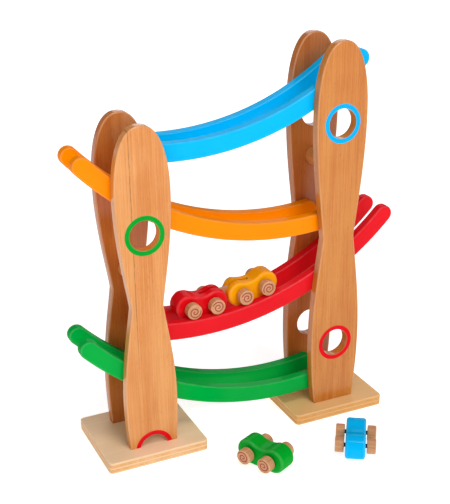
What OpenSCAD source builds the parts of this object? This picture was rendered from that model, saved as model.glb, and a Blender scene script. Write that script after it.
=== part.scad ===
// Click clack track: two towers of upright boards carry four curved tracks that zig-zag down between them,
// and small wooden cars roll down the tracks and across the floor.
// Origin: centre of the left base plate's underside.
// +X runs to the right tower, +Z is up, the front is at -Y.

/* [Base plates] */
// Distance between the two tower axes
tower_pitch = 237; // [232:1:244]
// Width of a base plate
plate_w = 120; // [110:1:130]
// Depth of a base plate
plate_d = 112; // [100:1:124]
// Thickness of a base plate
plate_t = 13.5; // [12:0.5:16]
// Radius of a base plate's upright corners
plate_corner = 5; // [2:0.5:10]

/* [Boards] */
// Thickness of the upright boards
board_t = 12; // [10:0.5:14]
// Squareness of the boards' round tops, where 2 is an ellipse
crown_power = 2.3; // [2:0.1:3]
// Fullness of the boards' waist curves
waist_power = 1.1; // [1:0.1:1.6]
// Radius of the round holes in the boards
hole_r = 17; // [14:0.5:17.5]

/* [Left tower] */
// Height of the left boards' tops above the floor
left_top_z = 387.5; // [382:0.5:400]
// Height of the left boards' shoulders, their upper widest place
left_shoulder_z = 310; // [300:1:320]
// Half width of the left boards at the shoulders
left_shoulder_w = 31.3; // [29:0.1:34]
// Height of the left boards' waist
left_waist_z = 187; // [175:1:200]
// Half width of the left boards at the waist
left_waist_w = 18.3; // [16:0.1:22]
// Height of the left boards' lower flare
left_flare_z = 70; // [60:1:80]
// Half width of the left boards at the flare
left_flare_w = 30.7; // [28:0.1:34]
// Half width of the left boards at the foot
left_foot_w = 28.2; // [26:0.1:32]
// Height of the left front board's hole
left_hole_z = 269.8; // [266:0.1:270]
// How far the centre of the foot arch lies below the left front board's lower edge
arch_drop = 3.9; // [0:0.1:6]
// Height of the left tie dowel
left_tie_z = 210; // [200:0.5:225]

/* [Right tower] */
// Height of the right boards' tops above the floor
right_top_z = 452.5; // [446:0.5:465]
// Height of the right boards' shoulders
right_shoulder_z = 368; // [360:1:378]
// Half width of the right boards at the shoulders
right_shoulder_w = 32; // [29:0.1:35]
// Height of the right boards' waist
right_waist_z = 228; // [215:1:240]
// Half width of the right boards at the waist
right_waist_w = 20.3; // [18:0.1:24]
// Height of the right boards' lower flare
right_flare_z = 98; // [88:1:108]
// Half width of the right boards at the flare
right_flare_w = 32.2; // [29:0.1:35]
// Half width of the right boards at the foot
right_foot_w = 26.6; // [25:0.1:30]
// Height of the right boards' upper hole
right_high_hole_z = 362; // [355:0.1:366]
// Height of the right boards' lower hole
right_low_hole_z = 92.2; // [86:0.1:100]
// Height of the right tie dowel
right_tie_z = 309.5; // [300:0.5:320]

/* [Tracks] */
// Radius of the rails' running edge
rail_r = 318.6; // [310:0.1:326]
// Height of a rail, across the arc
rail_h = 20.7; // [19:0.1:22]
// Thickness of a rail
rail_t = 12; // [11:0.1:14]
// Radius of the rails' eased edges
rail_ease = 2; // [1:0.1:4]
// Width of the open channel between a track's two rails
channel_w = 28; // [26:0.1:30]
// Height of the blue track's lowest point
blue_low_z = 361.5; // [358:0.1:364]
// Distance of the blue track's lowest point from the left tower's axis
blue_reach = 53; // [50:0.1:56]
// Angle from the blue track's lowest point up to its raised end
blue_ear_angle = 40.2; // [38:0.1:43]
// Height of the orange track's lowest point
orange_low_z = 254.5; // [252:0.1:257]
// Distance of the orange track's lowest point from the right tower's axis
orange_reach = 55.5; // [53:0.1:58]
// Angle from the orange track's lowest point up to its raised end
orange_ear_angle = 47; // [45:0.1:49]
// Height of the red track's lowest point
red_low_z = 153; // [150:0.1:156]
// Distance of the red track's lowest point from the left tower's axis
red_reach = 71.1; // [68:0.1:74]
// Angle from the red track's lowest point up to its raised end
red_ear_angle = 45.6; // [44:0.1:47]
// Height of the green track's lowest point
green_low_z = 48.6; // [48:0.1:52]
// Distance of the green track's lowest point from the right tower's axis
green_reach = 60.9; // [58:0.1:64]
// Angle from the green track's lowest point up to its raised end
green_ear_angle = 47.1; // [45:0.1:49]

/* [Joinery] */
// Diameter of the tie dowels between the boards
tie_d = 21; // [18:0.5:24]
// Diameter of the tie dowels' spigots
spigot_d = 10; // [8:0.5:12]
// Depth of the spigots in the boards
spigot_depth = 6; // [4:0.5:8]
// Diameter of the pins that hold the rails to the boards
pin_d = 6; // [5:0.5:8]
// Depth of each pin in its rail and in its board
pin_depth = 8; // [6:0.5:9]
// How far a pin stands in from the rail's lower end
pin_inset = 12.5; // [11:0.5:15]
// Diameter of the base screws' shanks
screw_d = 4; // [3:0.1:4.5]
// Diameter of the base screws' heads
screw_head_d = 8; // [7:0.1:8.5]
// Height of the base screws' conical heads
screw_head_h = 2.4; // [2:0.1:3]
// Length of the base screws
screw_len = 38; // [30:1:44]
// Depth of the screw heads below the plates' undersides
screw_sink = 0.5; // [0.3:0.1:1.5]
// Distance of the base screws from the tower axis
screw_reach = 21.5; // [20.5:0.1:22.5]

/* [Cars] */
// Length of a car body
car_len = 64; // [63:0.5:64.5]
// Radius of the car body's round ends
car_end_r = 14.6; // [14:0.05:15]
// Height of a car's waist above its belly
car_waist_z = 25.2; // [24.5:0.1:26]
// How far a car's belly hangs below its wheels, so that the rails guide it
belly_drop = 5; // [4:0.1:6]
// Radius of the car body's rounded edges
car_ease = 3; // [1.5:0.1:4]
// Play between a car body and the rails on each side
car_play = 2.5; // [2:0.1:4]
// Distance between a car's two axles
wheelbase = 28.8; // [28:0.1:30]
// Radius of a wheel
wheel_r = 8.9; // [8.5:0.1:9.5]
// Width of a wheel
wheel_w = 10.4; // [9:0.1:11]
// Radius of a wheel's rounded rims
wheel_ease = 1.2; // [0.5:0.1:2]
// Play between a wheel's outer face and the boards
wheel_play = 2.4; // [2:0.1:3.5]
// Diameter of the axles
axle_d = 5; // [4:0.1:5.5]
// Depth of an axle in its wheel
axle_depth = 7; // [5:0.1:8]
// Radial running clearance of an axle in a car body or in the coupling link
axle_clearance = 0.05; // [0.02:0.01:0.1]
// Running gap between the train's wheels and the rails
track_gap = 0.3; // [0.2:0.05:0.4]

/* [Train] */
// Distance between the coupling link's two eyes
link_pitch = 36.6; // [36.4:0.1:38.5]
// Thickness of the coupling link
link_t = 4.4; // [3.5:0.1:5]
// Radius of the coupling link's round ends
link_end_r = 7.5; // [7:0.1:8]
// How far the coupling link's middle line lies above its eyes
link_rise = 3.4; // [2:0.1:3.8]
// Clearance of the coupling link in its slots, on each side
slot_clearance = 0.3; // [0.2:0.05:0.6]
// Place of the red car along the red track, as an angle from the track's lowest point
red_car_angle = 0.8; // [-1:0.1:3]

/* [Floor cars] */
// Place of the green car along X
green_car_x = 106.4; // [104:0.1:114]
// Place of the green car along Y
green_car_y = -111; // [-120:0.1:-105]
// Heading of the green car
green_car_heading = -63.7; // [-75:0.1:-55]
// Place of the blue car along X
blue_car_x = 214.1; // [208:0.1:222]
// Place of the blue car along Y
blue_car_y = -129.9; // [-140:0.1:-122]
// Heading of the blue car
blue_car_heading = -122.7; // [-135:0.1:-112]

/* [Hidden] */
node = "all";
$fn = 96;
// Room that cutters run past the faces that they cut
past = 1;
blue_paint = [0, 0.62, 0.93];
orange_paint = [0.98, 0.55, 0.05];
red_paint = [0.88, 0.12, 0.15];
green_paint = [0.05, 0.6, 0.22];
yellow_paint = [0.99, 0.62, 0.08];
pale_wood = [0.87, 0.72, 0.52];
warm_wood = [0.85, 0.6, 0.33];
steel = [0.62, 0.6, 0.55];
black_steel = [0.08, 0.08, 0.08];

// Half the clear width between a tower's boards: the channel and a rail on each side fill it
bay = channel_w / 2 + rail_t;
rail_y = bay - rail_t / 2;
board_y = bay + board_t / 2;
rail_mid_r = rail_r + rail_h / 2;
body_w = channel_w - 2 * car_play;
wheel_out = bay - wheel_play;
wheel_in = wheel_out - wheel_w;
axle_len = 2 * (wheel_in + axle_depth);
slot_w = link_t + 2 * slot_clearance;
axle_z = belly_drop + wheel_r;

// Sides of the stand: a name, the sign of Y and the place in a tower's list of holes
sides = [["front", -1, 0], ["rear", 1, 1]];

// Towers: a name, the axis along X, the board's outline, the heights of the holes in the front board and
// in the rear board, and the tie dowel's height
left_outline = [left_foot_w, left_flare_z, left_flare_w, left_waist_z, left_waist_w,
    left_shoulder_z, left_shoulder_w, left_top_z];
right_outline = [right_foot_w, right_flare_z, right_flare_w, right_waist_z, right_waist_w,
    right_shoulder_z, right_shoulder_w, right_top_z];
left_holes = [left_hole_z, plate_t - arch_drop];
right_holes = [right_high_hole_z, right_low_hole_z];
left_tower = ["left", 0, left_outline, [left_holes, []], left_tie_z];
right_tower = ["right", tower_pitch, right_outline, [right_holes, right_holes], right_tie_z];
towers = [left_tower, right_tower];

// Tracks: a name, the arc's centre, the way that the track rises along X, the angles of its two ends,
// its paint and the places along X where pins hold it
function to_hundredth(angle) = round(100 * angle) / 100;
function low_angle(reach) = -to_hundredth(asin((reach - rail_h / 2) / rail_mid_r));
function end_angles(reach, ear_angle) = [low_angle(reach), to_hundredth(ear_angle)];
function left_track(name, low_z, reach, ear_angle, paint) =
    [name, [reach, low_z + rail_r], 1, end_angles(reach, ear_angle), paint, [pin_inset, tower_pitch]];
function right_track(name, low_z, reach, ear_angle, paint) =
    [name, [tower_pitch - reach, low_z + rail_r], -1, end_angles(reach, ear_angle), paint,
        [tower_pitch - pin_inset, 0]];
blue_track = left_track("blue", blue_low_z, blue_reach, blue_ear_angle, blue_paint);
orange_track = right_track("orange", orange_low_z, orange_reach, orange_ear_angle, orange_paint);
red_track = left_track("red", red_low_z, red_reach, red_ear_angle, red_paint);
green_track = right_track("green", green_low_z, green_reach, green_ear_angle, green_paint);
tracks = [blue_track, orange_track, red_track, green_track];

// Pins: the points in the X-Z plane where a rail's middle line passes a board
function rail_mid_z(track, x) = track[1][1] - sqrt(pow(rail_mid_r, 2) - pow(x - track[1][0], 2));
function track_pins(track) = [for (x = track[5]) [x, rail_mid_z(track, x)]];
pins = [for (track = tracks) each track_pins(track)];
function tower_pins(tower) = [for (pin = pins) if (abs(pin[0] - tower[1]) < tower_pitch / 2) pin];

// Train: the axles lie on one circle about the red track's centre, and the link spans a chord of it
axle_r = rail_r - wheel_r - track_gap;
axle_half_angle = asin(wheelbase / 2 / axle_r);
link_half_angle = asin(link_pitch / 2 / axle_r);
link_angle = red_car_angle + axle_half_angle + link_half_angle;
yellow_car_angle = link_angle + link_half_angle + axle_half_angle;

// Cars: a name, the end with the slot (1 front, -1 rear, 0 none), the paint and the place,
// which is an angle on the red track or a place and heading on the floor
cars = [
    ["red", -1, red_paint, [red_car_angle]],
    ["yellow", 1, yellow_paint, [yellow_car_angle]],
    ["green", 0, green_paint, [green_car_x, green_car_y, green_car_heading]],
    ["blue", 0, blue_paint, [blue_car_x, blue_car_y, blue_car_heading]]
];
axle_ends = [["front", 1], ["rear", -1]];
wheel_sides = [["left", 1], ["right", -1]];

// Car profile: two round ends and a hollow waist whose arc touches both
car_end_x = car_len / 2 - car_end_r;
waist_lift = car_waist_z - car_end_r;
waist_r = (pow(car_end_x, 2) + pow(waist_lift, 2) - pow(car_end_r, 2)) / (2 * (car_end_r - waist_lift));
waist_z = car_waist_z + waist_r;
waist_angle = atan2(waist_z - car_end_r, car_end_x);
touch_x = car_end_x - car_end_r * cos(waist_angle);
touch_z = car_end_r + car_end_r * sin(waist_angle);

function rail_node(track, side) = str(track[0], "_", side[0], "_rail");
function board_node(tower, side) = str(tower[0], "_", side[0], "_board");
function plate_node(tower) = str(tower[0], "_base_plate");
function tie_node(tower) = str(tower[0], "_tie_dowel");
function body_node(car) = str(car[0], "_car_body");
function axle_node(car, end) = str(car[0], "_", end[0], "_axle");
function wheel_node(car, end, side) = str(car[0], "_", end[0], "_", side[0], "_wheel");

NODES = concat(
    [for (tower = towers) plate_node(tower)],
    [for (tower = towers, side = sides) board_node(tower, side)],
    [for (tower = towers) tie_node(tower)],
    ["base_screws", "rail_pins"],
    [for (track = tracks, side = sides) rail_node(track, side)],
    [for (car = cars) body_node(car)],
    [for (car = cars, end = axle_ends) axle_node(car, end)],
    [for (car = cars, end = axle_ends, side = wheel_sides) wheel_node(car, end, side)],
    ["coupling_link"]
);

module rounded_rectangle(width, height, radius) {
    square([width - 2 * radius, height], center = true);
    square([width, height - 2 * radius], center = true);
    for (x = [-1, 1], y = [-1, 1])
        translate([x * (width / 2 - radius), y * (height / 2 - radius)])
            circle(radius);
}

// Outer half of a rounded rectangle, from the Y axis out to reach, for turning
module rounded_half(reach, thickness, radius) {
    intersection() {
        rounded_rectangle(2 * reach, thickness, radius);
        translate([0, -thickness])
            square([reach + past, 2 * thickness]);
    }
}

// What a quarter round takes off a square corner that lies at the origin, with the solid towards -X and -Y
module corner_waste(radius) {
    difference() {
        translate([-radius, -radius])
            square(radius + past);
        translate([-radius, -radius])
            circle(radius);
    }
}

// Turns a profile's plane upright: X stays, Y becomes Z, and the extrusion is centred on the X-Z plane
module upright(thickness) {
    rotate([90, 0, 0])
        linear_extrude(thickness, center = true)
            children();
}

module across(diameter, length) {
    rotate([90, 0, 0])
        cylinder(d = diameter, h = length, center = true);
}

// Half width of a board at a share of the way from its waist to the wide place next to it
function waist_curve(waist, wide, share) = waist + (wide - waist) * pow(sin(90 * share), waist_power);

// Half width of a board at height z, from its foot up to its shoulder
function board_half(outline, z) =
    let (foot = outline[0], flare_z = outline[1], flare = outline[2], waist_z = outline[3])
    let (waist = outline[4], shoulder_z = outline[5], shoulder = outline[6])
    z > waist_z ? waist_curve(waist, shoulder, (z - waist_z) / (shoulder_z - waist_z))
    : z > flare_z ? waist_curve(waist, flare, (waist_z - z) / (waist_z - flare_z))
    : flare - (flare - foot) * pow((flare_z - z) / (flare_z - plate_t), 2);

// Right-hand edge of a board from foot to top, where the crown is a squared-off ellipse
function board_edge(outline, steps = 48, crown_steps = 14) =
    let (shoulder_z = outline[5], shoulder = outline[6])
    let (crown_h = outline[7] - shoulder_z, power = 2 / crown_power)
    concat(
        [for (i = [0 : steps]) let (z = plate_t + (shoulder_z - plate_t) * i / steps)
            [board_half(outline, z), z]],
        [for (i = [1 : crown_steps - 1]) let (turn = 90 * i / crown_steps)
            [shoulder * pow(cos(turn), power), shoulder_z + crown_h * pow(sin(turn), power)]],
        [[0, outline[7]]]
    );

module board_outline(outline) {
    edge = board_edge(outline);
    mirrored = [for (i = [len(edge) - 2 : -1 : 0]) [-edge[i][0], edge[i][1]]];
    polygon(concat(edge, mirrored));
}

module screw_places(tower) {
    for (side = sides, x = [-1, 1])
        translate([tower[1] + x * screw_reach, side[1] * board_y, screw_sink])
            children();
}

// Countersunk screw that stands on its head, with a pointed tip
module screw_blank() {
    tip_h = screw_d;
    cylinder(d1 = screw_head_d, d2 = screw_d, h = screw_head_h);
    cylinder(d = screw_d, h = screw_len - tip_h);
    translate([0, 0, screw_len - tip_h])
        cylinder(d1 = screw_d, d2 = 0, h = tip_h);
}

// Screw with a cross slot in its head
module screw() {
    slot_len = screw_head_d * 0.6;
    slot_depth = screw_head_h / 2;
    slot_width = screw_head_h / 3;
    difference() {
        screw_blank();
        for (turn = [0, 90])
            rotate(turn)
                translate([0, 0, slot_depth / 2 - past / 2])
                    cube([slot_len, slot_width, slot_depth + past], center = true);
    }
}

module base_plate(tower) {
    color(pale_wood)
        difference() {
            translate([tower[1], 0, 0])
                linear_extrude(plate_t)
                    rounded_rectangle(plate_w, plate_d, plate_corner);
            screw_places(tower)
                screw_blank();
            screw_places(tower)
                translate([0, 0, -screw_sink - past])
                    cylinder(d = screw_head_d, h = screw_sink + past);
        }
}

module board(tower, side) {
    inner_y = side[1] * bay;
    color(warm_wood)
        difference() {
            translate([tower[1], side[1] * board_y, 0])
                upright(board_t)
                    difference() {
                        board_outline(tower[2]);
                        for (z = tower[3][side[2]])
                            translate([0, z])
                                circle(hole_r);
                    }
            for (pin = tower_pins(tower))
                translate([pin[0], inner_y, pin[1]])
                    across(pin_d, 2 * pin_depth);
            translate([tower[1], inner_y, tower[4]])
                across(spigot_d, 2 * spigot_depth);
            screw_places(tower)
                screw_blank();
        }
}

module tie_dowel(tower) {
    color(warm_wood)
        translate([tower[1], 0, tower[4]]) {
            across(tie_d, 2 * bay);
            across(spigot_d, 2 * (bay + spigot_depth));
        }
}

module base_screws() {
    color(steel)
        for (tower = towers)
            screw_places(tower)
                screw();
}

module rail_pins() {
    color(pale_wood)
        for (side = sides, pin = pins)
            translate([pin[0], side[1] * bay, pin[1]])
                across(pin_d, 2 * pin_depth);
}

// Moves by whole units, then thousandths, then the rest, so that no digit is lost on the way
module shift_exactly(v) {
    whole = [for (c = v) floor(c)];
    thousandths = [for (c = v - whole) floor(c * 1000) / 1000];
    translate(whole)
        translate(thousandths)
            translate(v - whole - thousandths)
                children();
}

// Round end of a rail at an angle of its arc: half a puck with eased edges, from the rail's section on
module rail_end(angle, start) {
    shift_exactly([rail_mid_r * cos(angle), rail_mid_r * sin(angle), 0])
        rotate_extrude(angle = 180, start = start)
            rounded_half(rail_h / 2, rail_t, rail_ease);
}

// One rail about its arc's centre, rising towards +X from its lower end
module rail_arc(angles) {
    low = angles[0] - 90;
    high = angles[1] - 90;
    rotate([90, 0, 0]) {
        rotate_extrude(angle = high - low, start = low)
            translate([rail_mid_r, 0])
                rounded_rectangle(rail_h, rail_t, rail_ease);
        rail_end(low, low + 180);
        rail_end(high, high);
    }
}

module rail(track, side) {
    color(track[4])
        difference() {
            translate([track[1][0], side[1] * rail_y, track[1][1]])
                mirror([track[2] < 0 ? 1 : 0, 0, 0])
                    rail_arc(track[3]);
            for (pin = track_pins(track))
                translate([pin[0], side[1] * bay, pin[1]])
                    across(pin_d, 2 * pin_depth);
        }
}

// Turns the X-Z plane about the red track's centre, so that +Z points up from the rails at that angle
module at_angle(angle) {
    translate([red_track[1][0], 0, red_track[1][1]])
        rotate([0, -angle, 0])
            children();
}

// Car frame: the origin is under the car's middle at the height of its belly, and +X is forwards
module at_car(car) {
    place = car[3];
    if (len(place) == 1)
        at_angle(place[0])
            translate([0, 0, -axle_r * cos(axle_half_angle) - axle_z])
                rotate(180)
                    children();
    else
        translate([place[0], place[1], 0])
            rotate(place[2])
                children();
}

module at_axle(car, end) {
    at_car(car)
        translate([end[1] * wheelbase / 2, 0, axle_z])
            children();
}

// Round end of a car body: a sector of a puck with rounded edges, from the waist's touching line to the belly
module car_end() {
    translate([car_end_x, 0, car_end_r])
        rotate([90, 0, 0])
            rotate(-90)
                rotate_extrude(angle = 270 - waist_angle)
                    rounded_half(car_end_r, body_w, car_ease);
}

module car_middle() {
    difference() {
        upright(body_w)
            polygon([
                [-car_end_x, 0],
                [car_end_x, 0],
                [car_end_x, car_end_r],
                [touch_x, touch_z],
                [-touch_x, touch_z],
                [-car_end_x, car_end_r]
            ]);
        translate([0, 0, waist_z])
            rotate([90, 0, 0])
                rotate_extrude() {
                    translate([0, -body_w / 2 - past])
                        square([waist_r, body_w + 2 * past]);
                    for (y = [0, 1])
                        mirror([0, y])
                            translate([waist_r, body_w / 2])
                                mirror([1, 0])
                                    corner_waste(car_ease);
                }
        for (y = [0, 1])
            mirror([0, y, 0])
                translate([0, body_w / 2, 0])
                    rotate([90, 0, 90])
                        linear_extrude(2 * car_end_x + 2 * past, center = true)
                            mirror([0, 1])
                                corner_waste(car_ease);
    }
}

// Saw slot for the coupling link, from the middle of the car out past one end
module car_slot(end) {
    slot_len = car_len / 2 + past;
    translate([end * slot_len / 2, 0, car_end_r])
        cube([slot_len, slot_w, 2 * car_end_r + 2 * past], center = true);
}

module car_body(car) {
    color(car[2])
        at_car(car) {
            difference() {
                car_middle();
                for (end = axle_ends)
                    translate([end[1] * wheelbase / 2, 0, axle_z])
                        across(axle_d + 2 * axle_clearance, body_w + 2 * past);
                if (car[1] != 0)
                    car_slot(car[1]);
            }
            for (end = [1, -1])
                difference() {
                    mirror([end < 0 ? 1 : 0, 0, 0])
                        car_end();
                    if (car[1] == end)
                        car_slot(end);
                }
        }
}

module axle(car, end) {
    color(black_steel)
        at_axle(car, end)
            across(axle_d, axle_len);
}

// Wheel turned about Y, with a blind bore for the axle in its inner face
module wheel(car, end, side) {
    color(pale_wood)
        at_axle(car, end)
            rotate([-90 * side[1], 0, 0])
                translate([0, 0, wheel_in + wheel_w / 2])
                    rotate_extrude()
                        difference() {
                            rounded_half(wheel_r, wheel_w, wheel_ease);
                            translate([-past, -wheel_w / 2 - past])
                                square([axle_d / 2 + past, axle_depth + past]);
                        }
}

module coupling_link() {
    color(pale_wood)
        at_angle(link_angle)
            translate([0, 0, -axle_r * cos(link_half_angle)])
                upright(link_t)
                    difference() {
                        translate([0, link_rise]) {
                            square([link_pitch, 2 * link_end_r], center = true);
                            for (x = [-1, 1])
                                translate([x * link_pitch / 2, 0])
                                    circle(link_end_r);
                        }
                        for (x = [-1, 1])
                            translate([x * link_pitch / 2, 0])
                                circle(d = axle_d + 2 * axle_clearance);
                    }
}

function shown(name) = node == "all" || node == name;

for (tower = towers) {
    if (shown(plate_node(tower))) base_plate(tower);
    if (shown(tie_node(tower))) tie_dowel(tower);
    for (side = sides)
        if (shown(board_node(tower, side))) board(tower, side);
}
if (shown("base_screws")) base_screws();
if (shown("rail_pins")) rail_pins();
for (track = tracks, side = sides)
    if (shown(rail_node(track, side))) rail(track, side);
for (car = cars) {
    if (shown(body_node(car))) car_body(car);
    for (end = axle_ends) {
        if (shown(axle_node(car, end))) axle(car, end);
        for (side = wheel_sides)
            if (shown(wheel_node(car, end, side))) wheel(car, end, side);
    }
}
if (shown("coupling_link")) coupling_link();
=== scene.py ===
import math

import bpy
import numpy as np
from mathutils import Matrix
from mathutils.geometry import tessellate_polygon


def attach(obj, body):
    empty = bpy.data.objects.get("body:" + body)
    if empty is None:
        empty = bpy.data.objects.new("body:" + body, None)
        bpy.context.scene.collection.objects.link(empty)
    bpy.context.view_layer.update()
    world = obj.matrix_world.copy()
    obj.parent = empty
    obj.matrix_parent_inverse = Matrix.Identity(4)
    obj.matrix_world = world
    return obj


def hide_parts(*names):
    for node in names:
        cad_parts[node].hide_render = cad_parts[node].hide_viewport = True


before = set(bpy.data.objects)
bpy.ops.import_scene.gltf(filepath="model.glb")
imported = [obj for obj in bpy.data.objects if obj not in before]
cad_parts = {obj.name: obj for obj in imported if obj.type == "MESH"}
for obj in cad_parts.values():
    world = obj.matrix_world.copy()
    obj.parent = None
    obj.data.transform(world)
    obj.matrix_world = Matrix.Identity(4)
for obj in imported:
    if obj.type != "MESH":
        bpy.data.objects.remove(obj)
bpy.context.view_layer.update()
mm = 0.001


# camera, at the photograph's viewing angle

shot = {
    "eye": (-339.3, -983.2, 652.0),  # mm
    "yaw": 25.92, "pitch": 24.53, "roll": -0.1,  # degrees to the right, down and tilted
    "focal": 1018.9,  # pixels
    "axis": (248.05, 299.7),  # pixel where the optical axis meets the picture
    "picture": (450, 504),
    "sensor": 36.0,  # mm
    "reach": 20.0,  # metres that the camera sees
}


def placement(right, up, back, place):  # a camera's or lamp's matrix from its axes and its place in metres
    placed = np.eye(4)
    placed[:3] = np.stack([right, up, back, place], 1)
    return Matrix(placed.tolist())


def makeCamera():
    # The yaw turns a level view to the right, the pitch tips it down and the roll tilts it about its axis
    yaw, pitch, roll = np.radians([shot["yaw"], shot["pitch"], shot["roll"]])
    forward = np.array([np.sin(yaw) * np.cos(pitch), np.cos(yaw) * np.cos(pitch), -np.sin(pitch)])
    level = np.array([np.cos(yaw), -np.sin(yaw), 0])
    lifted = np.cross(level, forward)
    right = np.cos(roll) * level + np.sin(roll) * lifted
    up = np.cos(roll) * lifted - np.sin(roll) * level
    wide, high = shot["picture"]
    longSide = max(wide, high)
    data = bpy.data.cameras.new("camera")
    data.sensor_width = shot["sensor"]
    data.lens = shot["focal"] * shot["sensor"] / longSide
    data.shift_x = (wide / 2 - shot["axis"][0]) / longSide
    data.shift_y = (shot["axis"][1] - high / 2) / longSide
    data.clip_end = shot["reach"]
    camera = bpy.data.objects.new("camera", data)
    camera.matrix_world = placement(right, up, -forward, np.array(shot["eye"]) * mm)
    bpy.context.scene.collection.objects.link(camera)
    bpy.context.scene.camera = camera


makeCamera()
print("camera: lens", round(bpy.context.scene.camera.data.lens, 2), "mm")


# shader maths: a Value is a socket, and an expression on Values adds Math nodes

class Value:
    def __init__(self, finish, socket):
        self.finish, self.socket = finish, socket

    def math(self, operation, *others):
        inputs = dict(enumerate((self, *others)))
        return self.finish.node("ShaderNodeMath", {"operation": operation}, inputs)

    def flipped(self, operation, other):  # other is a plain number that stands first
        return self.finish.node("ShaderNodeMath", {"operation": operation}, {0: other, 1: self})

    def __add__(self, other):
        return self.math("ADD", other)

    def __sub__(self, other):
        return self.math("SUBTRACT", other)

    def __rsub__(self, other):
        return self.flipped("SUBTRACT", other)

    def __mul__(self, other):
        return self.math("MULTIPLY", other)

    def __truediv__(self, other):
        return self.math("DIVIDE", other)

    def __rtruediv__(self, other):
        return self.flipped("DIVIDE", other)

    def __pow__(self, other):
        return self.math("POWER", other)

    def __abs__(self):
        return self.math("ABSOLUTE")

    __radd__ = __add__
    __rmul__ = __mul__


class Finish:  # one material and the node helpers that fill it
    def __init__(self, name):
        self.material = bpy.data.materials.new(name)
        self.material.use_nodes = True
        self.tree = self.material.node_tree
        self.tree.nodes.clear()

    def node(self, kind, settings=None, inputs=None, out=0):
        made = self.tree.nodes.new(kind)
        for key, value in (settings or {}).items():
            setattr(made, key, value)
        for key, value in (inputs or {}).items():
            if isinstance(value, Value):
                self.tree.links.new(value.socket, made.inputs[key])
            else:
                made.inputs[key].default_value = value
        return Value(self, made.outputs[out]) if made.outputs else None

    def objectPoint(self):  # the point on the piece in mm, in the shared frame at rest
        point = self.node("ShaderNodeTexCoord", out=3)
        return self.mapped(point, scale=(1 / mm,) * 3)

    def ownPoint(self, name):  # the piece's own attribute, in mm
        return self.node("ShaderNodeAttribute", {"attribute_name": name}, out=1)

    def ownNumber(self, name):
        return self.node("ShaderNodeAttribute", {"attribute_name": name}, out=2)

    def mapped(self, vector, scale=(1, 1, 1), place=(0, 0, 0)):
        return self.node("ShaderNodeMapping", None, {"Vector": vector, "Scale": scale, "Location": place})

    def axes(self, vector):
        made = self.node("ShaderNodeSeparateXYZ", None, {0: vector})
        return [Value(self, made.socket.node.outputs[i]) for i in range(3)]

    def noise(self, vector, scale=1.0, detail=2.0, rough=0.5, twist=0.0):
        return self.node("ShaderNodeTexNoise", None, {"Vector": vector, "Scale": scale, "Detail": detail,
                                                      "Roughness": rough, "Distortion": twist})

    def step(self, value, low, high):  # smooth step from 0 at low to 1 at high
        return self.node("ShaderNodeMapRange", {"interpolation_type": "SMOOTHSTEP"},
                         {"Value": value, "From Min": low, "From Max": high})

    def tint(self, amount, first, second):  # first at 0, second at 1
        return self.node("ShaderNodeMix", {"data_type": "RGBA", "clamp_factor": True},
                         {0: amount, 6: first, 7: second}, out=2)

    def bump(self, height, depth, strength):  # depth in mm for a height of 1
        return self.node("ShaderNodeBump", None,
                         {"Height": height, "Distance": depth * mm, "Strength": strength})

    def done(self, sockets):
        shader = self.node("ShaderNodeBsdfPrincipled", None, sockets)
        self.node("ShaderNodeOutputMaterial", None, {"Surface": shader})
        return self.material


def paintColour(red, green, blue):  # screen colour in 0 to 255, as the linear colour that a shader takes
    screen = np.array([red, green, blue]) / 255
    linear = np.where(screen > 0.04045, ((screen + 0.055) / 1.055) ** 2.4, screen / 12.92)
    return (*linear.tolist(), 1.0)


def shaded(tones, shade):  # the same wood scaled deeper or paler; for some boards and the right plate this scale is painted shade
    return {key: tuple(np.clip(np.array(value) * shade, 0, 255)) for key, value in tones.items()}


# finishes

lacquers = {  # screen colours of the brushed-on gloss lacquer
    "blue": (0, 186, 250),
    "orange": (255, 142, 0),
    "red": (229, 24, 35),
    "green": (0, 172, 66),
    "yellow": (255, 172, 0),
}
carLacquers = dict(lacquers, red=(234, 13, 25), green=(0, 168, 42))  # the red and green cars' lacquer is their tracks' paint shifted as painted light, for the light on the cars
lacquerFilm = {
    "drift": 0.03, "peel": 0.9, "sheenPatches": 0.12, "streak": (0.06, 1.1, 1.1),  # repeats per mm
    "edge": (238, 238, 244),  # tone of the painted highlight along eased edges, in place of the gloss's reflection
}


def lacquerFinish(name, colour, shade):
    # Gloss lacquer on wood: noise drifts from a shaded colour to the full one, stretched noise is the grain
    # under the film, and the edge attribute times noise paints a pale highlight along eased edges, in place
    # of the gloss's reflection
    finish = Finish(name)
    point = finish.objectPoint()
    drift = finish.noise(point, lacquerFilm["drift"])
    streak = finish.noise(finish.mapped(point, lacquerFilm["streak"]), 1.0, 3, 0.6)
    peel = finish.noise(point, lacquerFilm["peel"], 1)
    sheenPatches = finish.noise(point, lacquerFilm["sheenPatches"], 3)
    base = finish.tint(drift, paintColour(*(shade * np.array(colour))), paintColour(*colour))
    # painted highlight: eased edges are tinted towards a cool white, broken up by noise
    highlighted = finish.tint(finish.ownNumber("edge") * 0.08 * sheenPatches, base, paintColour(*lacquerFilm["edge"]))
    return finish.done({
        "Base Color": highlighted,
        "Roughness": 0.30 + 0.10 * drift + 0.05 * streak,
        "Coat Weight": 0.11 + 0.06 * drift,
        "Coat Roughness": 0.10,
        "Specular IOR Level": 0.0,  # the coat alone shines
        "Normal": finish.bump(0.6 * streak + 0.4 * peel, 0.05, 0.5),
    })


woodFigure = {  # repeats per mm across the grain and along it
    "bands": (0.07, 0.004), "streaks": (0.75, 0.012), "pores": (1.9, 0.16),
    "cloud": 0.024,
    "shares": (0.38, 0.46, 0.16),  # of bands, streaks and cloud in the tone
}


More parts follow.
